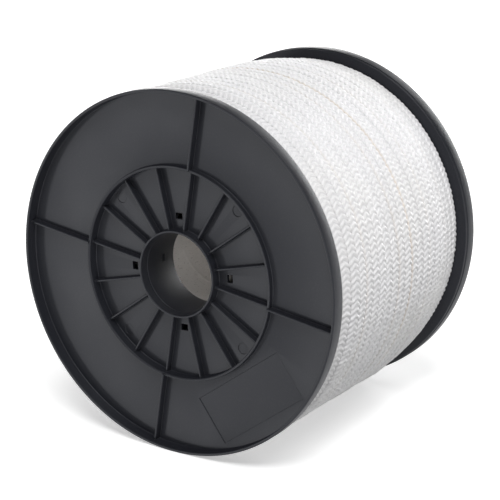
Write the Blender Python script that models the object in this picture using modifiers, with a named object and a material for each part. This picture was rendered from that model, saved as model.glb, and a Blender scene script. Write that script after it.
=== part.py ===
"""Flanged reel of braided cord.

Two ribbed plastic flanges push their hub sleeves into the ends of a board tube, and the cord is
wound on the tube between them. The reel's spin axis is +Y, +Z is up, and the origin is the
middle of the reel on its axis. All sizes are in metres.
"""
import math

import bmesh
import bpy
from mathutils import Matrix, Vector

# Overall sizes
FLANGE_DIAMETER = 0.230
REEL_WIDTH = 0.181

# Rim and outer plate of a flange. A depth is measured inwards from the flange's front edge.
RIM_DEPTH = 0.0080
RIM_WALL = 0.0018
RIM_STEP = 0.0006
PLATE_THICKNESS = 0.0022

# Ring wall and the deeper plate inside it
RING_DIAMETER = 0.136
RING_WALL = 0.0018
RING_TOP_DEPTH = 0.0045
INNER_PLATE_DEPTH = 0.0112

# Hub collar in front of the plate and hub sleeve behind it
BORE_DIAMETER = 0.052
BORE_STEP = 0.0004
HUB_WALL = 0.0016
HUB_TOP_DEPTH = 0.0045
SLEEVE_LENGTH = 0.0253

# Ribs
RIB_COUNT = 16
RIB_THICKNESS = 0.0015
RIB_TOP_DEPTH = 0.0070
LONG_RIB_COUNT = 4
LONG_RIB_TOP_DEPTH = 0.0040
RIB_START_ANGLE = math.radians(-8.7)

# Small features of a flange
SLOT_COUNT = 4
SLOT_LENGTH = 0.0050
SLOT_WIDTH = 0.0040
SLOT_OFFSET = 0.0015
PIN_MARK_COUNT = 4
PIN_MARK_DIAMETER = 0.0070
PIN_MARK_DEPTH = 0.0003
PIN_MARK_MARGIN = 0.0020
LABEL_LENGTH = 0.070
LABEL_DEPTH = 0.0004
LABEL_RING_MARGIN = 0.0040
LABEL_RIM_MARGIN = 0.0035
BORE_POCKET_HEIGHT = 0.0050
BORE_POCKET_WIDTH = 0.0030
BORE_POCKET_DEPTH = 0.0006
BORE_POCKET_FROM_PLATE = 0.0142
BORE_POCKET_ANGLE = math.radians(178.0)

# Board core tube and wound cord
CORE_WALL = 0.0040
WINDING_EDGE_FREEBOARD = 0.0070
WINDING_CROWN_FREEBOARD = 0.0008
WINDING_SHOULDER = 0.032
SHOULDER_STEPS = 5

# Gap kept between touching and nested pieces
CLEARANCE = 0.0003

# Facets round a turned piece
SEGMENTS = 72
PIN_SEGMENTS = 20
CUT_REACH = 0.0010
MERGE_DISTANCE = 0.00001

# Places that follow from the sizes above
FLANGE_RADIUS = FLANGE_DIAMETER / 2
HALF_WIDTH = REEL_WIDTH / 2
RIM_INNER_RADIUS = FLANGE_RADIUS - RIM_WALL
PLATE_BACK_DEPTH = RIM_DEPTH + PLATE_THICKNESS
RING_RADIUS = RING_DIAMETER / 2
RING_INNER_RADIUS = RING_RADIUS - RING_WALL
INNER_BACK_DEPTH = INNER_PLATE_DEPTH + PLATE_THICKNESS
BORE_RADIUS = BORE_DIAMETER / 2
HUB_RADIUS = BORE_RADIUS + HUB_WALL
SLEEVE_END_DEPTH = INNER_BACK_DEPTH + SLEEVE_LENGTH
CORE_INNER_RADIUS = HUB_RADIUS + CLEARANCE
CORE_RADIUS = CORE_INNER_RADIUS + CORE_WALL
CORE_HALF_LENGTH = HALF_WIDTH - INNER_BACK_DEPTH - CLEARANCE
WINDING_EDGE_RADIUS = FLANGE_RADIUS - WINDING_EDGE_FREEBOARD
WINDING_CROWN_RADIUS = FLANGE_RADIUS - WINDING_CROWN_FREEBOARD
WINDING_INNER_RADIUS = CORE_RADIUS + CLEARANCE
WINDING_HALF_LENGTH = HALF_WIDTH - PLATE_BACK_DEPTH - CLEARANCE
WINDING_STEP_RADIUS = RING_RADIUS + CLEARANCE
RIB_PITCH = 2 * math.pi / RIB_COUNT


def clear_scene():
    """Removes every object, so that the reel is all that is left."""
    for obj in list(bpy.data.objects):
        bpy.data.objects.remove(obj, do_unlink=True)


def new_collection(name):
    collection = bpy.data.collections.new(name)
    bpy.context.scene.collection.children.link(collection)
    return collection


def plain_material(name, color, roughness):
    """A Principled material with one colour and roughness."""
    material = bpy.data.materials.new(name)
    material.use_nodes = True
    shader = material.node_tree.nodes["Principled BSDF"]
    shader.inputs["Base Color"].default_value = (*color, 1.0)
    shader.inputs["Roughness"].default_value = roughness
    shader.inputs["Metallic"].default_value = 0.0
    return material


def black_plastic(name):
    return plain_material(name, (0.045, 0.045, 0.048), 0.48)


def grey_board():
    return plain_material("grey_board", (0.33, 0.30, 0.27), 0.90)


def white_cord():
    return plain_material("white_cord", (0.86, 0.85, 0.83), 0.75)


def polar_matrix(radius, angle, height):
    """A frame at radius and angle about the local axis, with its X pointing outwards."""
    turn = Matrix.Rotation(angle, 4, "Z")
    return turn @ Matrix.Translation(Vector((radius, 0.0, height)))


def add_box(mesh_builder, radial, height, angle, width):
    """Adds a box from radial[0] to radial[1] and height[0] to height[1], width across."""
    size = Vector((radial[1] - radial[0], width, height[1] - height[0]))
    centre = polar_matrix((radial[0] + radial[1]) / 2, angle, (height[0] + height[1]) / 2)
    bmesh.ops.create_cube(mesh_builder, size=1.0, matrix=centre @ Matrix.Diagonal((*size, 1.0)))


def add_disc(mesh_builder, radius, angle, height, diameter, thickness):
    """Adds an upright cylinder whose middle is at radius, angle and height."""
    bmesh.ops.create_cone(
        mesh_builder,
        cap_ends=True,
        segments=PIN_SEGMENTS,
        radius1=diameter / 2,
        radius2=diameter / 2,
        depth=thickness,
        matrix=polar_matrix(radius, angle, height),
    )


def object_from_bmesh(name, mesh_builder, collection):
    mesh = bpy.data.meshes.new(name)
    mesh_builder.to_mesh(mesh)
    mesh_builder.free()
    obj = bpy.data.objects.new(name, mesh)
    collection.objects.link(obj)
    return obj


def turned(name, profile, collection):
    """Turns a closed (radius, height) profile about the local Z axis.

    The profile starts half a facet round from +X, so that a flat facet, not a ridge, is lowest.
    """
    start = math.pi / SEGMENTS
    mesh = bpy.data.meshes.new(name)
    points = [(radius * math.cos(start), radius * math.sin(start), z) for radius, z in profile]
    edges = [(i, (i + 1) % len(points)) for i in range(len(points))]
    mesh.from_pydata(points, edges, [])
    obj = bpy.data.objects.new(name, mesh)
    collection.objects.link(obj)
    screw = obj.modifiers.new("turn", "SCREW")
    screw.axis = "Z"
    screw.angle = 2 * math.pi
    screw.steps = SEGMENTS
    screw.render_steps = SEGMENTS
    screw.use_merge_vertices = True
    screw.merge_threshold = MERGE_DISTANCE
    return obj


def add_boolean(obj, other, operation):
    boolean = obj.modifiers.new(operation.lower(), "BOOLEAN")
    boolean.operation = operation
    boolean.solver = "EXACT"
    boolean.object = other


def hide_tool(obj):
    """A shape that only cuts or adds to another is shown as wires and never rendered."""
    obj.hide_render = True
    obj.display_type = "WIRE"


def apply_modifiers(obj):
    """Keeps the evaluated mesh, shaded smooth with its real corners sharp."""
    graph = bpy.context.evaluated_depsgraph_get()
    mesh = bpy.data.meshes.new_from_object(obj.evaluated_get(graph))
    obj.modifiers.clear()
    obj.data = mesh
    mesh.shade_smooth()
    mesh.set_sharp_from_angle(angle=math.radians(35.0))


def set_material(obj, material):
    obj.data.materials.clear()
    obj.data.materials.append(material)


def flange_profile():
    """Half section of a flange, with its front edge at height 0 and depths below it."""
    return [
        (FLANGE_RADIUS, 0.0),
        (FLANGE_RADIUS, -RIM_DEPTH),
        (FLANGE_RADIUS - RIM_STEP, -RIM_DEPTH),
        (FLANGE_RADIUS - RIM_STEP, -PLATE_BACK_DEPTH),
        (RING_RADIUS, -PLATE_BACK_DEPTH),
        (RING_RADIUS, -INNER_BACK_DEPTH),
        (HUB_RADIUS, -INNER_BACK_DEPTH),
        (HUB_RADIUS, -SLEEVE_END_DEPTH),
        (BORE_RADIUS, -SLEEVE_END_DEPTH),
        (BORE_RADIUS, -INNER_PLATE_DEPTH),
        (BORE_RADIUS + BORE_STEP, -INNER_PLATE_DEPTH),
        (BORE_RADIUS + BORE_STEP, -HUB_TOP_DEPTH),
        (HUB_RADIUS, -HUB_TOP_DEPTH),
        (HUB_RADIUS, -INNER_PLATE_DEPTH),
        (RING_INNER_RADIUS, -INNER_PLATE_DEPTH),
        (RING_INNER_RADIUS, -RING_TOP_DEPTH),
        (RING_RADIUS, -RING_TOP_DEPTH),
        (RING_RADIUS, -RIM_DEPTH),
        (RIM_INNER_RADIUS, -RIM_DEPTH),
        (RIM_INNER_RADIUS, 0.0),
    ]


def rib_shapes(name, collection):
    """All ribs of a flange. Each runs from the middle of one wall to the middle of the next."""
    ribs = bmesh.new()
    hub_middle = HUB_RADIUS - (HUB_WALL - BORE_STEP) / 2
    ring_middle = RING_RADIUS - RING_WALL / 2
    rim_middle = FLANGE_RADIUS - RIM_WALL / 2
    inner_height = (-INNER_PLATE_DEPTH - PLATE_THICKNESS / 2, -RIB_TOP_DEPTH)
    outer_height = (-RIM_DEPTH - PLATE_THICKNESS / 2, -LONG_RIB_TOP_DEPTH)
    for index in range(RIB_COUNT):
        angle = RIB_START_ANGLE + index * RIB_PITCH
        add_box(ribs, (hub_middle, ring_middle), inner_height, angle, RIB_THICKNESS)
    for index in range(LONG_RIB_COUNT):
        angle = RIB_START_ANGLE + index * 2 * math.pi / LONG_RIB_COUNT
        add_box(ribs, (ring_middle, rim_middle), outer_height, angle, RIB_THICKNESS)
    shape = object_from_bmesh(name, ribs, collection)
    hide_tool(shape)
    return shape


def label_edges():
    """Distances of the label recess's inner and outer long edges from the axis."""
    corner_radius = RIM_INNER_RADIUS - LABEL_RIM_MARGIN
    outer = math.sqrt(corner_radius**2 - (LABEL_LENGTH / 2) ** 2)
    return RING_RADIUS + LABEL_RING_MARGIN, outer


def cut_shapes(name, collection):
    """Everything that is cut from a flange: cord slots, pin marks, label recess, bore pocket."""
    cuts = bmesh.new()
    slot_start = CORE_RADIUS + SLOT_OFFSET
    slot_height = (-INNER_BACK_DEPTH - CUT_REACH, -INNER_PLATE_DEPTH + CUT_REACH)
    for index in range(SLOT_COUNT):
        angle = RIB_START_ANGLE + RIB_PITCH / 2 + index * 2 * math.pi / SLOT_COUNT
        add_box(cuts, (slot_start, slot_start + SLOT_WIDTH), slot_height, angle, SLOT_LENGTH)
    mark_radius = RING_INNER_RADIUS - PIN_MARK_MARGIN - PIN_MARK_DIAMETER / 2
    mark_height = -INNER_PLATE_DEPTH - PIN_MARK_DEPTH + CUT_REACH / 2
    for index in range(PIN_MARK_COUNT):
        angle = RIB_START_ANGLE + RIB_PITCH * 2.5 + index * 2 * math.pi / PIN_MARK_COUNT
        add_disc(cuts, mark_radius, angle, mark_height, PIN_MARK_DIAMETER, CUT_REACH)
    label_angle = RIB_START_ANGLE - math.pi / LONG_RIB_COUNT
    label_height = (-RIM_DEPTH - LABEL_DEPTH, -RIM_DEPTH + CUT_REACH)
    add_box(cuts, label_edges(), label_height, label_angle, LABEL_LENGTH)
    pocket_radial = (BORE_RADIUS - CUT_REACH, BORE_RADIUS + BORE_POCKET_DEPTH)
    pocket_middle = -INNER_BACK_DEPTH - BORE_POCKET_FROM_PLATE
    pocket_height = (pocket_middle - BORE_POCKET_WIDTH / 2, pocket_middle + BORE_POCKET_WIDTH / 2)
    add_box(cuts, pocket_radial, pocket_height, BORE_POCKET_ANGLE, BORE_POCKET_HEIGHT)
    shape = object_from_bmesh(name, cuts, collection)
    hide_tool(shape)
    return shape


def make_flange(name, side, parts, tools):
    """A flange with its front facing -Y for side -1 and +Y for side +1."""
    flange = turned(name, flange_profile(), parts)
    add_boolean(flange, rib_shapes(name + "_ribs", tools), "UNION")
    add_boolean(flange, cut_shapes(name + "_cuts", tools), "DIFFERENCE")
    apply_modifiers(flange)
    set_material(flange, black_plastic(name + "_plastic"))
    flange.rotation_euler = (-side * math.pi / 2, 0.0, 0.0)
    flange.location = (0.0, side * HALF_WIDTH, 0.0)
    return flange


def make_core_tube(parts):
    """The board tube that the hub sleeves push into."""
    profile = [
        (CORE_RADIUS, CORE_HALF_LENGTH),
        (CORE_RADIUS, -CORE_HALF_LENGTH),
        (CORE_INNER_RADIUS, -CORE_HALF_LENGTH),
        (CORE_INNER_RADIUS, CORE_HALF_LENGTH),
    ]
    tube = turned("core_tube", profile, parts)
    apply_modifiers(tube)
    set_material(tube, grey_board())
    tube.rotation_euler = (math.pi / 2, 0.0, 0.0)
    return tube


def shoulder_profile(half_length):
    """The winding's outer side from one flange to its crown: each (radius, distance from middle)."""
    points = []
    for step in range(SHOULDER_STEPS + 1):
        share = step / SHOULDER_STEPS
        rise = (WINDING_CROWN_RADIUS - WINDING_EDGE_RADIUS) * math.sin(share * math.pi / 2)
        points.append((WINDING_EDGE_RADIUS + rise, half_length - WINDING_SHOULDER * share))
    return points


def make_cord_winding(parts):
    """The wound cord as one crowned ring: fullest in the middle and lower beside each flange."""
    half = WINDING_HALF_LENGTH
    shoulder = shoulder_profile(half)
    profile = shoulder + [(radius, -place) for radius, place in reversed(shoulder)]
    profile += [
        (WINDING_STEP_RADIUS, -half),
        (WINDING_STEP_RADIUS, -CORE_HALF_LENGTH),
        (WINDING_INNER_RADIUS, -CORE_HALF_LENGTH),
        (WINDING_INNER_RADIUS, CORE_HALF_LENGTH),
        (WINDING_STEP_RADIUS, CORE_HALF_LENGTH),
        (WINDING_STEP_RADIUS, half),
    ]
    winding = turned("cord_winding", profile, parts)
    apply_modifiers(winding)
    set_material(winding, white_cord())
    winding.rotation_euler = (math.pi / 2, 0.0, 0.0)
    return winding


def main():
    clear_scene()
    parts = new_collection("cord_reel")
    tools = new_collection("cord_reel_tools")
    make_flange("front_flange", -1, parts, tools)
    make_flange("rear_flange", 1, parts, tools)
    make_core_tube(parts)
    make_cord_winding(parts)


main()
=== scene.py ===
"""Looks of the cord reel: ribbed moulded flanges, a spiral-wound board tube and braided cord.

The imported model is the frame: the spin axis is +Y, +Z is up, and the origin is the middle of the
reel on its axis. Sizes are in metres and angles in radians.
"""
import math

import bmesh
import bpy
import numpy as np
from mathutils import Matrix, Vector, noise


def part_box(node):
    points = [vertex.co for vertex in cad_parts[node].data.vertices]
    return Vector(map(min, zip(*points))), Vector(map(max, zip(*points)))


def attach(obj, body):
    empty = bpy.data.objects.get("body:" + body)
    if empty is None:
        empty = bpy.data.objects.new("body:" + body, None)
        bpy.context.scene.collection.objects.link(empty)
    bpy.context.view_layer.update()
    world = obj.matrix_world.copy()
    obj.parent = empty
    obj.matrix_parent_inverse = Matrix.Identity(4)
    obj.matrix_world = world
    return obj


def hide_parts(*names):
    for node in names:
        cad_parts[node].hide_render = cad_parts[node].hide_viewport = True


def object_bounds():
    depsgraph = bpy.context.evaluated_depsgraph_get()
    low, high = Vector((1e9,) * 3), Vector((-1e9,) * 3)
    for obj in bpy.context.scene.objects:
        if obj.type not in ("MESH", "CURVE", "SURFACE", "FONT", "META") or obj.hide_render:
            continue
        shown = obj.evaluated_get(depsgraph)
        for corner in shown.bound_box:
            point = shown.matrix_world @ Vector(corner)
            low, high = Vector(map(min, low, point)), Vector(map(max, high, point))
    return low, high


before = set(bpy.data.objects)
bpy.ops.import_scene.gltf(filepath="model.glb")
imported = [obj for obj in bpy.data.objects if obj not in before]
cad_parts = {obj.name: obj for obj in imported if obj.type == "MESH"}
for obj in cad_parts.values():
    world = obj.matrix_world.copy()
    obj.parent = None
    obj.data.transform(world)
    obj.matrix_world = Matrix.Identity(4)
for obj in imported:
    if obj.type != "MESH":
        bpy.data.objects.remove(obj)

TAU = 2 * math.pi

# Flange: walls and depths. A depth is measured inwards from the flange's front edge.
RIM_DEPTH = 0.0080
RIM_WALL = 0.0018
RIM_STEP = 0.0006
PLATE_THICKNESS = 0.0022
RING_RADIUS = 0.0680
RING_WALL = 0.0018
RING_TOP_DEPTH = 0.0043
RING_TOP_SLOPE = 0.0005
INNER_PLATE_DEPTH = 0.0112
BORE_RADIUS = 0.0260
BORE_STEP = 0.0002
HUB_WALL = 0.0016
HUB_TOP_DEPTH = 0.0045
SLEEVE_LENGTH = 0.0253

# Flange: ribs and small features
RIB_COUNT = 16
RIB_THICKNESS = 0.0015
RIB_TOP_DEPTH = 0.0070
LONG_RIB_COUNT = 4
LONG_RIB_TOP_DEPTH = 0.0033
RIB_START_ANGLE = math.radians(-8.7)
RIB_DRAFT = 0.0002
SLOT_LENGTH = 0.0050
SLOT_WIDTH = 0.0040
SLOT_OFFSET = 0.0015
PIN_MARK_DIAMETER = 0.0070
PIN_MARK_DEPTH = 0.0003
PIN_MARK_MARGIN = 0.0020
LABEL_LENGTH = 0.070
LABEL_DEPTH = 0.0004
LABEL_RING_MARGIN = 0.0040
LABEL_RIM_MARGIN = 0.0035
BORE_POCKET_HEIGHT = 0.0050
BORE_POCKET_WIDTH = 0.0030
BORE_POCKET_DEPTH = 0.0006
BORE_POCKET_FROM_PLATE = 0.0142
BORE_POCKET_ANGLE = math.radians(178.0)

# Rounding of the moulding's corners and roots
EDGE_ROUND = 0.0004
ROOT_ROUND = 0.0005
SHARP_ROUND = 0.0001
ARC_STEPS = 3
FLANGE_SEGMENTS = 240
PIN_SEGMENTS = 48
CUT_REACH = 0.0010
MERGE_DISTANCE = 0.00001

# Core tube
CORE_WALL = 0.0040
CLEARANCE = 0.0003
PLY_WIDTH = 0.075
PLY_SEAM_WIDTH = 0.0009
PLY_SEAM_DEPTH = 0.00018
TUBE_SEGMENTS = 160
TUBE_ROWS = 150

# Wound cord
# The winding's radius is taken beside a flange, and its crown rises from there
WINDING_RADIUS = 0.1085
WINDING_CROWN = 0.0057
FRONT_SHOULDER = 0.024
REAR_SHOULDER = 0.050
CORD_HEIGHT = 0.0080
CORD_PITCH = 0.0081
START_ANGLE = math.radians(-80.0)
STITCHES_PER_TURN = 188.43
STITCH_SAMPLES = 8
COLUMN_SAMPLES = 7
UNDERSIDE_SAMPLES = 5
STITCH_RELIEF = 0.00062
STITCH_SLANT = 0.66
TURN_VALLEY = 0.0008
TURNS_PER_LENGTH = 4
WORN_SEAMS = {3: 0.30, 8: 0.30, 10: 1.0, 13: 0.20, 16: 0.25}
WORN_SEAM_WIDTH = 0.26
PRESSED_TURN_PLACE = 0.0165
PRESSED_TURN_SHIFT = 0.0045
PRESSED_TURN_REACH = 0.032
PRESSED_TURN_ANGLE = math.radians(95.0)
PRESSED_TURN_ARC = math.radians(50.0)
RAISED_TURNS = {16.9: 0.0008, 13.8: 0.0008}
RAISED_TURN_WIDTH = 0.6
RAISED_TURN_ANGLE = math.radians(-62.0)
RAISED_TURN_ARC = math.radians(24.0)

# Wound cord: wanders along it, each as its size, its seed and its rate
STITCH_WANDER = (1.1, 3, 3.1)
SIDE_WANDER = (0.00018, 5, 5.0)
LIFT_WANDER = (0.00045, 8, 2.3)
FINE_LIFT_WANDER = (0.00030, 11, 9.0)
UNEVEN_STITCHES = (0.50, 21, 1.3)

# Wound cord: shape of its section, and how deep it dives at the flanges
CREST_DROP = 0.0007
DIVE_SHARE = 0.95
WAIST_DEPTH = 0.30
WAIST_WIDTH = 0.16
VALLEY_SHARPNESS = 6
SEAM_VALLEY = 0.5
STITCH_BULGE = 0.10
BULGE_SHARPNESS = 4
UNDERSIDE_DEPTH = 0.80
UNDERSIDE_WIDTH = 0.97

# Layers below the outer one
INNER_LAYER_DROP = 0.0030
INNER_RIDGE_HEIGHT = 0.0020
INNER_RIDGE_STEPS = 6
INNER_END_GAP = 0.0035
INNER_END_SLOPE = 0.040
INNER_SEGMENTS = 180

# Edges sharper than this many degrees stay sharp when a piece is shaded smooth
SMOOTH_ANGLE = 40.0
INNER_SMOOTH_ANGLE = 50.0

# Colours
PLASTIC_COLORS = ((0.0092, 0.0098, 0.0135), (0.0122, 0.0130, 0.0172))
PLASTIC_SPECK = (0.036, 0.036, 0.038)
# Painted highlight and wear: the lighter colour that edges and roots are painted towards
PLASTIC_EDGE_WEAR_AND_HIGHLIGHT = (0.050, 0.050, 0.052)
PLASTIC_TINT = (0.93, 0.95, 1.0)
BOARD_COLORS = ((0.72, 0.69, 0.66), (0.86, 0.83, 0.80))
BOARD_BLOTCH = (0.72, 0.69, 0.65)
BOARD_FLECK = (0.22, 0.20, 0.175)
CORD_COLORS = ((0.785, 0.78, 0.795), (0.885, 0.88, 0.893))
CORD_CREAM = (0.84, 0.828, 0.80)
# Painted shade: the grey that the low gaps between stitches are painted towards
CORD_GAP_SHADE = (0.44, 0.44, 0.46)
CORD_THREAD = (0.62, 0.615, 0.62)
CORD_SOIL = (0.60, 0.48, 0.36)
FLOOR_COLORS = ((0.86, 0.86, 0.86), (0.88, 0.88, 0.88))

# Camera and its view
CAMERA_PLACE = Vector((0.57722, -0.89090, 0.30807))
CAMERA_FORWARD = Vector((-0.52259, 0.80413, -0.28332))
CAMERA_LENS = 122.4
CAMERA_SENSOR = 36.0

# Soft boxes: azimuth and elevation in degrees, strength, and width as seen from the reel in degrees
LIGHTS = {
    "low_left_key": (-44, -14, 0.20, 9),
    "right_front_box": (40, 4, 0.14, 24),
    "right_box": (90, 28, 0.06, 24),
    "lower_right_box": (70, -20, 0.22, 24),
    "upper_right_front_box": (30, 58, 0.60, 24),
    "upper_right_box": (90, 58, 0.27, 24),
    "back_right_box": (140, 4, 0.06, 24),
    "back_box": (180, 4, 0.75, 24),
    "back_left_box": (-145, 8, 0.45, 24),
    "upper_back_box": (180, 28, 0.16, 24),
}
WORLD_STRENGTH = 0.05
FLOOR_GLOW = 0.42
FLOOR_REACH = 30.0


# ---------------------------------------------------------------------------------------------
# Node helpers
# ---------------------------------------------------------------------------------------------

def new_material(name):
    """An empty node material with a Principled shader. Returns the material and its tree."""
    material = bpy.data.materials.new(name)
    material.use_nodes = True
    return material, material.node_tree


def add_node(tree, kind, **values):
    """Adds a node. A value sets the input of that name, or else the node's own property."""
    node = tree.nodes.new(kind)
    for name, value in values.items():
        socket = node.inputs.get(name.replace("_", " "))
        if socket is not None:
            socket.default_value = value
        else:
            setattr(node, name, value)
    return node


def object_coordinates(tree):
    return add_node(tree, "ShaderNodeTexCoord").outputs["Object"]


def stretched(tree, vector, scale):
    """The coordinates scaled along each axis, so that a noise is longer one way."""
    mapping = add_node(tree, "ShaderNodeMapping", Scale=scale)
    tree.links.new(vector, mapping.inputs["Vector"])
    return mapping.outputs["Vector"]


def noise_value(tree, vector, scale, detail=3.0, roughness=0.5):
    texture = add_node(tree, "ShaderNodeTexNoise", Scale=scale, Detail=detail, Roughness=roughness)
    tree.links.new(vector, texture.inputs["Vector"])
    return texture.outputs["Fac"]


def math_node(tree, operation, first, second=None):
    node = add_node(tree, "ShaderNodeMath", operation=operation)
    for index, value in enumerate((first, second)):
        if value is None:
            continue
        if isinstance(value, (int, float)):
            node.inputs[index].default_value = value
        else:
            tree.links.new(value, node.inputs[index])
    return node.outputs[0]


def remapped(tree, value, source, target):
    """value taken from the source range to the target range, and held inside it."""
    node = add_node(tree, "ShaderNodeMapRange", clamp=True)
    tree.links.new(value, node.inputs["Value"])
    for name, number in zip(("From Min", "From Max", "To Min", "To Max"), (*source, *target)):
        node.inputs[name].default_value = number
    return node.outputs["Result"]


def mixed_color(tree, factor, first, second):
    """A blend of two colours. Each is a tuple or a colour socket, and factor a number or socket."""
    node = add_node(tree, "ShaderNodeMix", data_type="RGBA")
    for socket, value in ((node.inputs[0], factor), (node.inputs[6], first), (node.inputs[7], second)):
        if isinstance(value, bpy.types.NodeSocket):
            tree.links.new(value, socket)
        elif isinstance(value, tuple):
            socket.default_value = (*value, 1.0)
        else:
            socket.default_value = value
    return node.outputs[2]


def bumped(tree, height, distance, strength=1.0, normal=None):
    """A normal tilted by a height from 0 to 1 that stands for that distance in metres."""
    node = add_node(tree, "ShaderNodeBump", Strength=strength, Distance=distance)
    tree.links.new(height, node.inputs["Height"])
    if normal is not None:
        tree.links.new(normal, node.inputs["Normal"])
    return node.outputs["Normal"]


# ---------------------------------------------------------------------------------------------
# Materials
# ---------------------------------------------------------------------------------------------

def moulded_plastic(name):
    """Black moulded plastic: fine grain, faint flow clouds, and edges painted a little lighter, partly
    as rubbed wear and partly as a painted highlight.
    """
    material, tree = new_material(name)
    shader = tree.nodes["Principled BSDF"]
    place = object_coordinates(tree)
    clouds = noise_value(tree, place, 28.0, 4.0, 0.55)
    specks = noise_value(tree, place, 900.0, 2.0, 0.5)
    base = mixed_color(tree, clouds, *PLASTIC_COLORS)
    speck = remapped(tree, specks, (0.55, 0.80), (0.0, 0.35))
    speckled = mixed_color(tree, speck, base, PLASTIC_SPECK)
    # Painted highlight and wear: outer edges and inner root fillets alike are painted lighter where
    # the bevelled normal turns from the true one
    soft = add_node(tree, "ShaderNodeBevel", Radius=0.00045, samples=4)
    geometry = add_node(tree, "ShaderNodeNewGeometry")
    dot = add_node(tree, "ShaderNodeVectorMath", operation="DOT_PRODUCT")
    tree.links.new(soft.outputs["Normal"], dot.inputs[0])
    tree.links.new(geometry.outputs["Normal"], dot.inputs[1])
    edge_wear_and_highlight = remapped(tree, dot.outputs["Value"], (0.99, 0.80), (0.0, 0.5))
    color = mixed_color(tree, edge_wear_and_highlight, speckled, PLASTIC_EDGE_WEAR_AND_HIGHLIGHT)
    tree.links.new(color, shader.inputs["Base Color"])
    rough = remapped(tree, clouds, (0.3, 0.7), (0.48, 0.52))
    tree.links.new(rough, shader.inputs["Roughness"])
    grain = noise_value(tree, place, 2600.0, 2.0, 0.6)
    swells = noise_value(tree, place, 60.0, 2.0, 0.5)
    rolling = bumped(tree, swells, 0.00010, 0.35, soft.outputs["Normal"])
    tree.links.new(bumped(tree, grain, 0.00003, 0.5, rolling), shader.inputs["Normal"])
    shader.inputs["Specular IOR Level"].default_value = 0.36
    shader.inputs["Specular Tint"].default_value = (*PLASTIC_TINT, 1.0)
    return material


def core_board():
    """Grey board: matted fibres, darker flecks and the seams of the wound plies."""
    material, tree = new_material("core_board")
    shader = tree.nodes["Principled BSDF"]
    place = object_coordinates(tree)
    fibres = noise_value(tree, stretched(tree, place, (1.0, 0.35, 1.0)), 420.0, 5.0, 0.65)
    blotches = noise_value(tree, place, 70.0, 3.0, 0.5)
    flecks = noise_value(tree, stretched(tree, place, (1.0, 0.25, 1.0)), 1500.0, 2.0, 0.5)
    base = mixed_color(tree, fibres, *BOARD_COLORS)
    blotch = remapped(tree, blotches, (0.35, 0.65), (0.0, 0.4))
    blotched = mixed_color(tree, blotch, base, BOARD_BLOTCH)
    fleck = remapped(tree, flecks, (0.62, 0.75), (0.0, 0.6))
    flecked = mixed_color(tree, fleck, blotched, BOARD_FLECK)
    tree.links.new(flecked, shader.inputs["Base Color"])
    shader.inputs["Roughness"].default_value = 0.88
    tree.links.new(bumped(tree, fibres, 0.00012, 0.6), shader.inputs["Normal"])
    return material


def braided_cord():
    """White braid with thread lines, painted shade in the gaps between stitches, and soiled seams.

    The cord attribute holds the stitches along, the columns across and the height of the stitch.
    """
    material, tree = new_material("braided_cord")
    shader = tree.nodes["Principled BSDF"]
    place = object_coordinates(tree)
    cord = add_node(tree, "ShaderNodeAttribute", attribute_name="cord")
    soil = add_node(tree, "ShaderNodeAttribute", attribute_name="soil").outputs["Fac"]
    parts = add_node(tree, "ShaderNodeSeparateXYZ")
    tree.links.new(cord.outputs["Vector"], parts.inputs["Vector"])
    along, across, height = parts.outputs
    # The threads follow the slant of the stitches on each side of the cord's middle
    from_middle = math_node(tree, "ABSOLUTE", math_node(tree, "SUBTRACT", across, 1.0))
    slant = math_node(tree, "MULTIPLY", from_middle, STITCH_SLANT)
    thread_place = add_node(tree, "ShaderNodeCombineXYZ")
    stitches = math_node(tree, "SUBTRACT", along, slant)
    tree.links.new(math_node(tree, "MULTIPLY", stitches, 4.5), thread_place.inputs["X"])
    tree.links.new(math_node(tree, "MULTIPLY", across, 2.2), thread_place.inputs["Y"])
    threads = noise_value(tree, thread_place.outputs["Vector"], 1.0, 2.0, 0.6)
    stretches = noise_value(tree, place, 38.0, 3.0, 0.55)
    patches = noise_value(tree, place, 17.0, 2.0, 0.5)
    fuzz = noise_value(tree, place, 3000.0, 2.0, 0.6)
    clean = mixed_color(tree, stretches, *CORD_COLORS)
    cream = remapped(tree, patches, (0.40, 0.62), (0.0, 0.35))
    tinted = mixed_color(tree, cream, clean, CORD_CREAM)
    # Painted shade: the cord is painted darker where the stitch is low, in the gaps between stitches
    gap_shade = math_node(tree, "MULTIPLY", remapped(tree, height, (0.10, 0.62), (1.0, 0.0)), 0.30)
    gap_shaded = mixed_color(tree, gap_shade, tinted, CORD_GAP_SHADE)
    thread = remapped(tree, threads, (0.40, 0.60), (0.50, 0.0))
    threaded = mixed_color(tree, thread, gap_shaded, CORD_THREAD)
    soiled = mixed_color(tree, math_node(tree, "MULTIPLY", soil, 0.55), threaded, CORD_SOIL)
    tree.links.new(soiled, shader.inputs["Base Color"])
    shader.inputs["Roughness"].default_value = 0.55
    shader.inputs["Sheen Weight"].default_value = 0.12
    shader.inputs["Sheen Roughness"].default_value = 0.4
    thread_bump = bumped(tree, threads, 0.00018, 0.8)
    tree.links.new(bumped(tree, fuzz, 0.00003, 0.4, thread_bump), shader.inputs["Normal"])
    return material


def studio_floor():
    """A pale light table: matt white with a very faint mottle, and lit from below."""
    material, tree = new_material("studio_floor")
    shader = tree.nodes["Principled BSDF"]
    mottle = noise_value(tree, object_coordinates(tree), 6.0, 3.0, 0.5)
    color = mixed_color(tree, mottle, *FLOOR_COLORS)
    tree.links.new(color, shader.inputs["Base Color"])
    shader.inputs["Roughness"].default_value = 0.9
    shader.inputs["Emission Color"].default_value = (1.0, 1.0, 1.0, 1.0)
    shader.inputs["Emission Strength"].default_value = FLOOR_GLOW
    return material


# ---------------------------------------------------------------------------------------------
# Mesh helpers
# ---------------------------------------------------------------------------------------------

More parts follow.
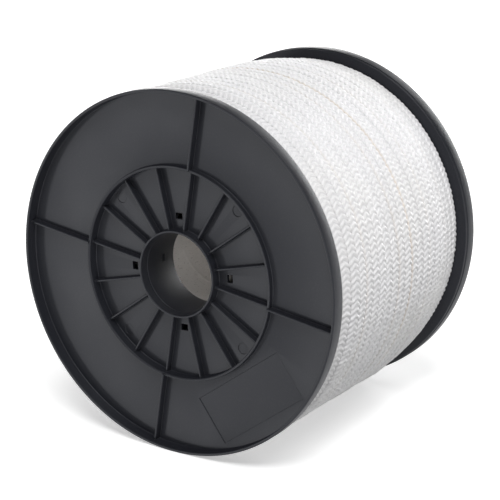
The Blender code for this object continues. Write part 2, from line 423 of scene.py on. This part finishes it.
def rounded_outline(corners):
    """A closed outline of (x, y, fillet) corners, with each corner turned into an arc."""
    points = []
    count = len(corners)
    for index, (x, y, fillet) in enumerate(corners):
        here = Vector((x, y))
        back = (Vector(corners[index - 1][:2]) - here).normalized()
        ahead = (Vector(corners[(index + 1) % count][:2]) - here).normalized()
        half = back.angle(ahead) / 2
        centre = here + (back + ahead).normalized() * fillet / math.sin(half)
        first = here + back * fillet / math.tan(half) - centre
        last = here + ahead * fillet / math.tan(half) - centre
        sweep = math.atan2(first.x * last.y - first.y * last.x, first.dot(last))
        for step in range(ARC_STEPS + 1):
            points.append(centre + Matrix.Rotation(sweep * step / ARC_STEPS, 2) @ first)
    return points


def linked_object(name, mesh):
    obj = bpy.data.objects.new(name, mesh)
    bpy.context.scene.collection.objects.link(obj)
    return obj


def object_from_bmesh(name, mesh_builder):
    mesh = bpy.data.meshes.new(name)
    mesh_builder.to_mesh(mesh)
    mesh_builder.free()
    return linked_object(name, mesh)


def turned(name, outline, segments):
    """Turns a closed outline of (radius, height) points about the local Z axis."""
    mesh = bpy.data.meshes.new(name)
    edges = [(index, (index + 1) % len(outline)) for index in range(len(outline))]
    mesh.from_pydata([(radius, 0.0, height) for radius, height in outline], edges, [])
    obj = linked_object(name, mesh)
    screw = obj.modifiers.new("turn", "SCREW")
    screw.axis = "Z"
    screw.angle = TAU
    screw.steps = segments
    screw.render_steps = segments
    screw.use_merge_vertices = True
    screw.merge_threshold = MERGE_DISTANCE
    return obj


def polar_matrix(radius, angle, height):
    """A frame at radius and angle about the local axis, with its X pointing outwards."""
    return Matrix.Rotation(angle, 4, "Z") @ Matrix.Translation(Vector((radius, 0.0, height)))


def add_box(mesh_builder, radial, height, angle, width):
    size = Vector((radial[1] - radial[0], width, height[1] - height[0]))
    centre = polar_matrix((radial[0] + radial[1]) / 2, angle, (height[0] + height[1]) / 2)
    bmesh.ops.create_cube(mesh_builder, size=1.0, matrix=centre @ Matrix.Diagonal((*size, 1.0)))


def add_rib(mesh_builder, radial, height, angle):
    """A drafted rib with a rounded top, from radial[0] to radial[1] and height[0] to height[1]."""
    foot = RIB_THICKNESS / 2 + RIB_DRAFT / 2
    top = RIB_THICKNESS / 2 - RIB_DRAFT / 2
    outline = rounded_outline([
        (foot, height[0], SHARP_ROUND),
        (top, height[1], EDGE_ROUND),
        (-top, height[1], EDGE_ROUND),
        (-foot, height[0], SHARP_ROUND),
    ])
    turn = Matrix.Rotation(angle, 4, "Z")
    loops = [
        [mesh_builder.verts.new(turn @ Vector((distance, across, up))) for across, up in outline]
        for distance in radial
    ]
    near, far = loops
    mesh_builder.faces.new(near)
    mesh_builder.faces.new(reversed(far))
    for index in range(len(outline)):
        after = (index + 1) % len(outline)
        mesh_builder.faces.new((near[after], near[index], far[index], far[after]))


def add_disc(mesh_builder, radius, angle, height, diameter, thickness):
    bmesh.ops.create_cone(
        mesh_builder,
        cap_ends=True,
        segments=PIN_SEGMENTS,
        radius1=diameter / 2,
        radius2=diameter / 2,
        depth=thickness,
        matrix=polar_matrix(radius, angle, height),
    )


def combine(obj, other, operation):
    """Joins the other shape to obj or cuts it away, and removes the other shape."""
    boolean = obj.modifiers.new(operation.lower(), "BOOLEAN")
    boolean.operation = operation
    boolean.solver = "EXACT"
    boolean.object = other
    keep_evaluated(obj)
    bpy.data.objects.remove(other, do_unlink=True)


def keep_evaluated(obj):
    graph = bpy.context.evaluated_depsgraph_get()
    mesh = bpy.data.meshes.new_from_object(obj.evaluated_get(graph))
    obj.modifiers.clear()
    obj.data = mesh


def shade(obj, degrees):
    obj.data.shade_smooth()
    obj.data.set_sharp_from_angle(angle=math.radians(degrees))


def finish_piece(obj, material, nodes):
    """Gives a piece its material and its place on the body, and hides the nodes that it stands for."""
    obj.data.materials.clear()
    obj.data.materials.append(material)
    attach(obj, "root")
    if nodes:
        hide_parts(*nodes)


# ---------------------------------------------------------------------------------------------
# Flanges
# ---------------------------------------------------------------------------------------------

def flange_outline(radius):
    """Half section of a flange: front edge at height 0, everything else below it."""
    rim_inner = radius - RIM_WALL
    plate_back = -RIM_DEPTH - PLATE_THICKNESS
    inner_back = -INNER_PLATE_DEPTH - PLATE_THICKNESS
    hub = BORE_RADIUS + HUB_WALL
    ring_inner = RING_RADIUS - RING_WALL
    return rounded_outline([
        (radius, 0.0, EDGE_ROUND),
        (radius, -RIM_DEPTH, EDGE_ROUND / 2),
        (radius - RIM_STEP, -RIM_DEPTH, SHARP_ROUND),
        (radius - RIM_STEP, plate_back, EDGE_ROUND),
        (RING_RADIUS, plate_back, ROOT_ROUND),
        (RING_RADIUS, inner_back, EDGE_ROUND),
        (hub, inner_back, ROOT_ROUND),
        (hub, inner_back - SLEEVE_LENGTH, EDGE_ROUND),
        (BORE_RADIUS, inner_back - SLEEVE_LENGTH, EDGE_ROUND),
        (BORE_RADIUS, -INNER_PLATE_DEPTH, SHARP_ROUND),
        (BORE_RADIUS + BORE_STEP, -INNER_PLATE_DEPTH, SHARP_ROUND),
        (BORE_RADIUS + BORE_STEP, -HUB_TOP_DEPTH, EDGE_ROUND),
        (hub, -HUB_TOP_DEPTH, EDGE_ROUND),
        (hub, -INNER_PLATE_DEPTH, ROOT_ROUND),
        (ring_inner, -INNER_PLATE_DEPTH, ROOT_ROUND),
        (ring_inner, -RING_TOP_DEPTH - RING_TOP_SLOPE, EDGE_ROUND),
        (RING_RADIUS, -RING_TOP_DEPTH, EDGE_ROUND),
        (RING_RADIUS, -RIM_DEPTH, ROOT_ROUND),
        (rim_inner, -RIM_DEPTH, ROOT_ROUND),
        (rim_inner, 0.0, EDGE_ROUND),
    ])


def rib_shapes(radius):
    """All ribs, each from the middle of one round wall to the middle of the next."""
    ribs = bmesh.new()
    hub_middle = BORE_RADIUS + BORE_STEP + (HUB_WALL - BORE_STEP) / 2
    ring_middle = RING_RADIUS - RING_WALL / 2
    rim_middle = radius - RIM_WALL / 2
    inner_height = (-INNER_PLATE_DEPTH - PLATE_THICKNESS / 2, -RIB_TOP_DEPTH)
    outer_height = (-RIM_DEPTH - PLATE_THICKNESS / 2, -LONG_RIB_TOP_DEPTH)
    for index in range(RIB_COUNT):
        angle = RIB_START_ANGLE + index * TAU / RIB_COUNT
        add_rib(ribs, (hub_middle, ring_middle), inner_height, angle)
    for index in range(LONG_RIB_COUNT):
        angle = RIB_START_ANGLE + index * TAU / LONG_RIB_COUNT
        add_rib(ribs, (ring_middle, rim_middle), outer_height, angle)
    return object_from_bmesh("rib_shapes", ribs)


def label_edges(radius):
    """Distances of the label recess's inner and outer long edges from the axis."""
    corner_radius = radius - RIM_WALL - LABEL_RIM_MARGIN
    outer = math.sqrt(corner_radius**2 - (LABEL_LENGTH / 2) ** 2)
    return RING_RADIUS + LABEL_RING_MARGIN, outer


def cut_shapes(radius):
    """Everything cut from a flange: cord slots, pin marks, label recess and bore pocket."""
    cuts = bmesh.new()
    inner_back = -INNER_PLATE_DEPTH - PLATE_THICKNESS
    slot_start = BORE_RADIUS + HUB_WALL + CLEARANCE + CORE_WALL + SLOT_OFFSET
    slot_height = (inner_back - CUT_REACH, -INNER_PLATE_DEPTH + CUT_REACH)
    mark_radius = RING_RADIUS - RING_WALL - PIN_MARK_MARGIN - PIN_MARK_DIAMETER / 2
    mark_height = -INNER_PLATE_DEPTH - PIN_MARK_DEPTH + CUT_REACH / 2
    rib_pitch = TAU / RIB_COUNT
    for index in range(LONG_RIB_COUNT):
        quarter = RIB_START_ANGLE + index * TAU / LONG_RIB_COUNT
        slot_radial = (slot_start, slot_start + SLOT_WIDTH)
        add_box(cuts, slot_radial, slot_height, quarter + rib_pitch / 2, SLOT_LENGTH)
        mark_angle = quarter + rib_pitch * 2.5
        add_disc(cuts, mark_radius, mark_angle, mark_height, PIN_MARK_DIAMETER, CUT_REACH)
    label_angle = RIB_START_ANGLE - math.pi / LONG_RIB_COUNT
    label_height = (-RIM_DEPTH - LABEL_DEPTH, -RIM_DEPTH + CUT_REACH)
    add_box(cuts, label_edges(radius), label_height, label_angle, LABEL_LENGTH)
    middle = inner_back - BORE_POCKET_FROM_PLATE
    pocket_height = (middle - BORE_POCKET_WIDTH / 2, middle + BORE_POCKET_WIDTH / 2)
    pocket_radial = (BORE_RADIUS - CUT_REACH, BORE_RADIUS + BORE_POCKET_DEPTH)
    add_box(cuts, pocket_radial, pocket_height, BORE_POCKET_ANGLE, BORE_POCKET_HEIGHT)
    return object_from_bmesh("cut_shapes", cuts)


def make_flange(name, node, side, radius, half_width):
    """A flange whose front faces -Y for side -1 and +Y for side +1."""
    flange = turned(name, flange_outline(radius), FLANGE_SEGMENTS)
    combine(flange, rib_shapes(radius), "UNION")
    combine(flange, cut_shapes(radius), "DIFFERENCE")
    flange.data.transform(Matrix.Rotation(-side * math.pi / 2, 4, "X"))
    flange.location = (0.0, side * half_width, 0.0)
    shade(flange, SMOOTH_ANGLE)
    finish_piece(flange, moulded_plastic(name + "_plastic"), [node])
    return flange


# ---------------------------------------------------------------------------------------------
# Core tube
# ---------------------------------------------------------------------------------------------

def make_core_tube():
    """A board tube with a shallow spiral seam where the edges of the inner and outer ply meet."""
    low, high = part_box("core_tube")
    outer = (high.x - low.x) / 2
    inner = outer - CORE_WALL
    rows = [(inner, y) for y in np.linspace(low.y, high.y, TUBE_ROWS)]
    rows += [(outer, y) for y in np.linspace(high.y, low.y, TUBE_ROWS)]
    points = []
    for ring_radius, y in rows:
        for step in range(TUBE_SEGMENTS):
            angle = TAU * step / TUBE_SEGMENTS
            lead = (y / PLY_WIDTH - angle / TAU) % 1.0
            seam = math.exp(-((min(lead, 1.0 - lead) * PLY_WIDTH / PLY_SEAM_WIDTH) ** 2))
            sunk = PLY_SEAM_DEPTH if ring_radius == inner else -PLY_SEAM_DEPTH
            radius = ring_radius + sunk * seam
            points.append((radius * math.cos(angle), y, radius * math.sin(angle)))
    faces = []
    for row in range(len(rows)):
        after = (row + 1) % len(rows)
        for step in range(TUBE_SEGMENTS):
            beside = (step + 1) % TUBE_SEGMENTS
            faces.append((
                row * TUBE_SEGMENTS + step,
                row * TUBE_SEGMENTS + beside,
                after * TUBE_SEGMENTS + beside,
                after * TUBE_SEGMENTS + step,
            ))
    mesh = bpy.data.meshes.new("board_tube")
    mesh.from_pydata(points, [], faces)
    tube = linked_object("board_tube", mesh)
    shade(tube, SMOOTH_ANGLE)
    finish_piece(tube, core_board(), ["core_tube"])
    return tube


# ---------------------------------------------------------------------------------------------
# Wound cord
# ---------------------------------------------------------------------------------------------

def wander(values, size, seed, rate):
    """A slow, smooth random wander between -size and size along the cord."""
    return size * np.array([noise.noise(Vector((value * rate, seed * 17.3, 0.5))) for value in values])


def bell(values, middle, reach):
    return np.exp(-(((values - middle) / reach) ** 2))


def angle_bell(angle, middle, reach):
    """A bell round the reel, which takes angles that are whole turns apart as the same."""
    return bell((angle - middle + math.pi) % TAU, math.pi, reach)


def worn_seams(turns, outer):
    """How soiled the cord is beside the seams between some of its turns, from 0 to 1."""
    seam = np.zeros((len(turns), len(outer)))
    whole = np.floor(turns)
    for edge_wear_and_highlight, offset in ((-1.0, 0), (1.0, 1)):
        near = bell(outer, edge_wear_and_highlight, WORN_SEAM_WIDTH)
        strength = np.array([WORN_SEAMS.get(int(turn) + offset, 0.0) for turn in whole])
        seam += strength[:, None] * near[None, :]
    return seam


def crown(across, half_width):
    """How much fuller the winding is at a place across the reel than beside its flanges."""
    front = np.clip((across + half_width) / FRONT_SHOULDER, 0.0, 1.0)
    rear = np.clip((half_width - across) / REAR_SHOULDER, 0.0, 1.0)
    return WINDING_CROWN * np.sin(front * math.pi / 2) * np.sin(rear * math.pi / 2)


def cord_path(turns, half_width):
    """Angle, place across the reel and sink below the surface of each point along the cord.

    The cord lies against a flange in its first and last turn, and there it comes up from below
    its neighbour or goes down under it.
    """
    last = (2 * half_width - CORD_PITCH) / CORD_PITCH
    angle = START_ANGLE - turns * TAU
    across = -half_width + CORD_PITCH * (np.clip(turns, 0.0, last) + 0.5)
    sink = CORD_HEIGHT * DIVE_SHARE * (np.clip(-turns, 0.0, 1.0) + np.clip(turns - last, 0.0, 1.0))
    return angle, across, sink


def pressed(across, angle):
    """The turns lie closer together over the top of the reel, where one was pressed sideways."""
    top = angle_bell(angle, PRESSED_TURN_ANGLE, PRESSED_TURN_ARC)
    return across - PRESSED_TURN_SHIFT * bell(across, PRESSED_TURN_PLACE, PRESSED_TURN_REACH) * top


def raised_turns(turns, angle):
    """Two turns that ride a little higher than the others, low on the right-hand side."""
    low_right = angle_bell(angle, RAISED_TURN_ANGLE, RAISED_TURN_ARC)
    return low_right * sum(
        height * bell(turns, turn, RAISED_TURN_WIDTH) for turn, height in RAISED_TURNS.items()
    )


def cord_rings(turns, half_width):
    """A ring of points round the cord at each place along it, and their cord and soil values.

    A ring runs over the stitched outer side from edge to edge, and closes underneath.
    """
    angle, side, sink = cord_path(turns, half_width)
    along = turns * STITCHES_PER_TURN + wander(turns, *STITCH_WANDER)
    side = side + wander(turns, *SIDE_WANDER)
    lift = wander(turns, *LIFT_WANDER) + wander(turns, *FINE_LIFT_WANDER)
    crest = WINDING_RADIUS - CREST_DROP + lift + raised_turns(turns, angle) - sink

    outer = np.linspace(-1.0, 1.0, 2 * COLUMN_SAMPLES + 1)
    half = CORD_PITCH / 2
    seam = worn_seams(turns, outer)
    unevenness = 1.0 + wander(along, *UNEVEN_STITCHES)
    phase = along[:, None] + STITCH_SLANT * (1.0 - np.abs(outer))[None, :]
    stitch = np.abs(np.sin(math.pi * phase)) * unevenness[:, None]
    waist = 1.0 - WAIST_DEPTH * bell(np.abs(outer), 0.0, WAIST_WIDTH)
    relief = STITCH_RELIEF * stitch * waist[None, :]
    fall = TURN_VALLEY * np.abs(outer)[None, :] ** VALLEY_SHARPNESS * (1.0 + SEAM_VALLEY * seam)
    bulge = 1.0 - STITCH_BULGE * np.abs(outer)[None, :] ** BULGE_SHARPNESS * (1.0 - stitch)
    across_out = side[:, None] + half * outer[None, :] * bulge
    radius_out = crest[:, None] + crown(across_out, half_width) + relief - fall - STITCH_RELIEF / 2

    turn_round = math.pi * np.linspace(0.0, 1.0, UNDERSIDE_SAMPLES + 2)[1:-1]
    across_in = side[:, None] + half * UNDERSIDE_WIDTH * np.cos(turn_round)[None, :]
    depth = CORD_HEIGHT * UNDERSIDE_DEPTH * np.sin(turn_round)
    radius_in = (crest - TURN_VALLEY)[:, None] - depth[None, :]
    radius_in = radius_in + crown(across_in, half_width)
    radius = np.concatenate((radius_out, radius_in), axis=1)
    across = pressed(np.concatenate((across_out, across_in), axis=1), angle[:, None])

    points = np.empty((*radius.shape, 3))
    points[:, :, 0] = radius * np.cos(angle)[:, None]
    points[:, :, 1] = across
    points[:, :, 2] = radius * np.sin(angle)[:, None]
    cord = np.zeros(points.shape, np.float32)
    cord[:, :, 0] = along[:, None]
    cord[:, : len(outer), 1] = outer[None, :] + 1.0
    cord[:, : len(outer), 2] = stitch * waist[None, :]
    soil = np.zeros(radius.shape, np.float32)
    soil[:, : len(outer)] = seam
    return points, cord, soil


def ring_faces(count, ring):
    """Faces between each ring of points and the next one, with a cap at both ends."""
    base = np.arange(count - 1)[:, None] * ring
    here = np.arange(ring)[None, :]
    beside = (here + 1) % ring
    walls = np.stack((base + here, base + beside, base + ring + beside, base + ring + here), axis=2)
    faces = walls.reshape(-1, 4).tolist()
    faces.append(list(range(ring))[::-1])
    faces.append(list(range((count - 1) * ring, count * ring)))
    return faces


def make_cord_length(name, turns, half_width, material):
    """Some turns of the outer layer: a helix of braided cord with raised, slanting stitches."""
    points, cord_values, soil_values = cord_rings(turns, half_width)
    mesh = bpy.data.meshes.new(name)
    mesh.from_pydata(points.reshape(-1, 3).tolist(), [], ring_faces(*points.shape[:2]))
    attribute = mesh.attributes.new("cord", "FLOAT_VECTOR", "POINT")
    attribute.data.foreach_set("vector", cord_values.ravel())
    attribute = mesh.attributes.new("soil", "FLOAT", "POINT")
    attribute.data.foreach_set("value", soil_values.ravel())
    cord = linked_object(name, mesh)
    mesh.shade_smooth()
    finish_piece(cord, material, ["cord_winding"])
    return cord


def make_inner_winding(half_width, material):
    """The layers below the outer one: a ring whose ends slope in, so the flange slots look dark."""
    low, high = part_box("core_tube")
    inner = (high.x - low.x) / 2 + CLEARANCE
    ridge_base = WINDING_RADIUS - CORD_HEIGHT - INNER_LAYER_DROP
    flat = half_width - INNER_END_GAP
    ridges = int(2 * flat / CORD_PITCH)
    pitch = 2 * flat / ridges
    outline = [(inner, INNER_END_SLOPE - half_width), (RING_RADIUS, -flat), (ridge_base, -flat)]
    for turn in range(ridges):
        middle = -flat + pitch * (turn + 0.5)
        for step in range(1, INNER_RIDGE_STEPS + 1):
            lean = math.pi * step / INNER_RIDGE_STEPS
            place = middle - pitch / 2 * math.cos(lean)
            ridge = ridge_base + crown(place, half_width) + INNER_RIDGE_HEIGHT * math.sin(lean)
            outline.append((ridge, place))
    outline += [(RING_RADIUS, flat), (inner, half_width - INNER_END_SLOPE)]
    ring = turned("inner_winding", outline, INNER_SEGMENTS)
    keep_evaluated(ring)
    ring.data.transform(Matrix.Rotation(-math.pi / 2, 4, "X"))
    shade(ring, INNER_SMOOTH_ANGLE)
    finish_piece(ring, material, ["cord_winding"])
    return ring


def make_winding():
    """The inner layers as one ring, and the outer layer as one cord in several lengths."""
    half_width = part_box("cord_winding")[1].y
    last = (2 * half_width - CORD_PITCH) / CORD_PITCH
    material = braided_cord()
    make_inner_winding(half_width, material)
    starts = list(range(0, int(last), TURNS_PER_LENGTH))
    ends = starts[1:] + [last + 1.0]
    starts[0] = -1.0
    for number, (first, end) in enumerate(zip(starts, ends), 1):
        count = int(round((end - first) * STITCHES_PER_TURN * STITCH_SAMPLES)) + 1
        turns = np.linspace(first, end, count)
        make_cord_length(f"outer_cord_{number}", turns, half_width, material)


# ---------------------------------------------------------------------------------------------
# Stage
# ---------------------------------------------------------------------------------------------

def make_camera():
    data = bpy.data.cameras.new("camera")
    data.sensor_width = CAMERA_SENSOR
    data.lens = CAMERA_LENS
    camera = bpy.data.objects.new("camera", data)
    bpy.context.scene.collection.objects.link(camera)
    camera.location = CAMERA_PLACE
    camera.rotation_euler = CAMERA_FORWARD.to_track_quat("-Z", "Y").to_euler()
    bpy.context.scene.camera = camera


def make_light(name, azimuth, elevation, strength, spread):
    """A distant soft box. Azimuth 0 faces the front flange and positive is towards +X, in degrees."""
    data = bpy.data.lights.new(name, "SUN")
    data.energy = math.pi * strength
    data.angle = math.radians(spread)
    light = bpy.data.objects.new(name, data)
    bpy.context.scene.collection.objects.link(light)
    turn = math.radians(azimuth)
    rise = math.radians(elevation)
    level = math.cos(rise)
    direction = Vector((math.sin(turn) * level, -math.cos(turn) * level, math.sin(rise)))
    light.rotation_euler = (-direction).to_track_quat("-Z", "Y").to_euler()


def make_world(strength):
    world = bpy.data.worlds.new("studio")
    world.use_nodes = True
    background = world.node_tree.nodes["Background"]
    background.inputs["Color"].default_value = (1.0, 1.0, 1.0, 1.0)
    background.inputs["Strength"].default_value = strength
    bpy.context.scene.world = world


def make_floor(height):
    """A wide floor. It casts no shadow and lights no matt surface: the soft boxes do that."""
    mesh = bpy.data.meshes.new("studio_floor")
    signs = ((-1, -1), (1, -1), (1, 1), (-1, 1))
    corners = [(x * FLOOR_REACH, y * FLOOR_REACH, height) for x, y in signs]
    mesh.from_pydata(corners, [], [(0, 1, 2, 3)])
    floor = linked_object("studio_floor", mesh)
    floor.data.materials.append(studio_floor())
    floor.visible_shadow = False
    floor.visible_diffuse = False


def make_stage(floor_height):
    bpy.context.scene.view_settings.view_transform = "Standard"
    make_camera()
    make_world(WORLD_STRENGTH)
    for name, (azimuth, elevation, strength, spread) in LIGHTS.items():
        make_light(name, azimuth, elevation, strength, spread)
    make_floor(floor_height)


def main():
    cad_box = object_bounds()
    low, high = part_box("front_flange")
    radius = (high.x - low.x) / 2
    half_width = -low.y
    make_stage(cad_box[0].z)
    make_flange("front_flange_moulding", "front_flange", -1, radius, half_width)
    make_flange("rear_flange_moulding", "rear_flange", 1, radius, half_width)
    make_core_tube()
    make_winding()


main()
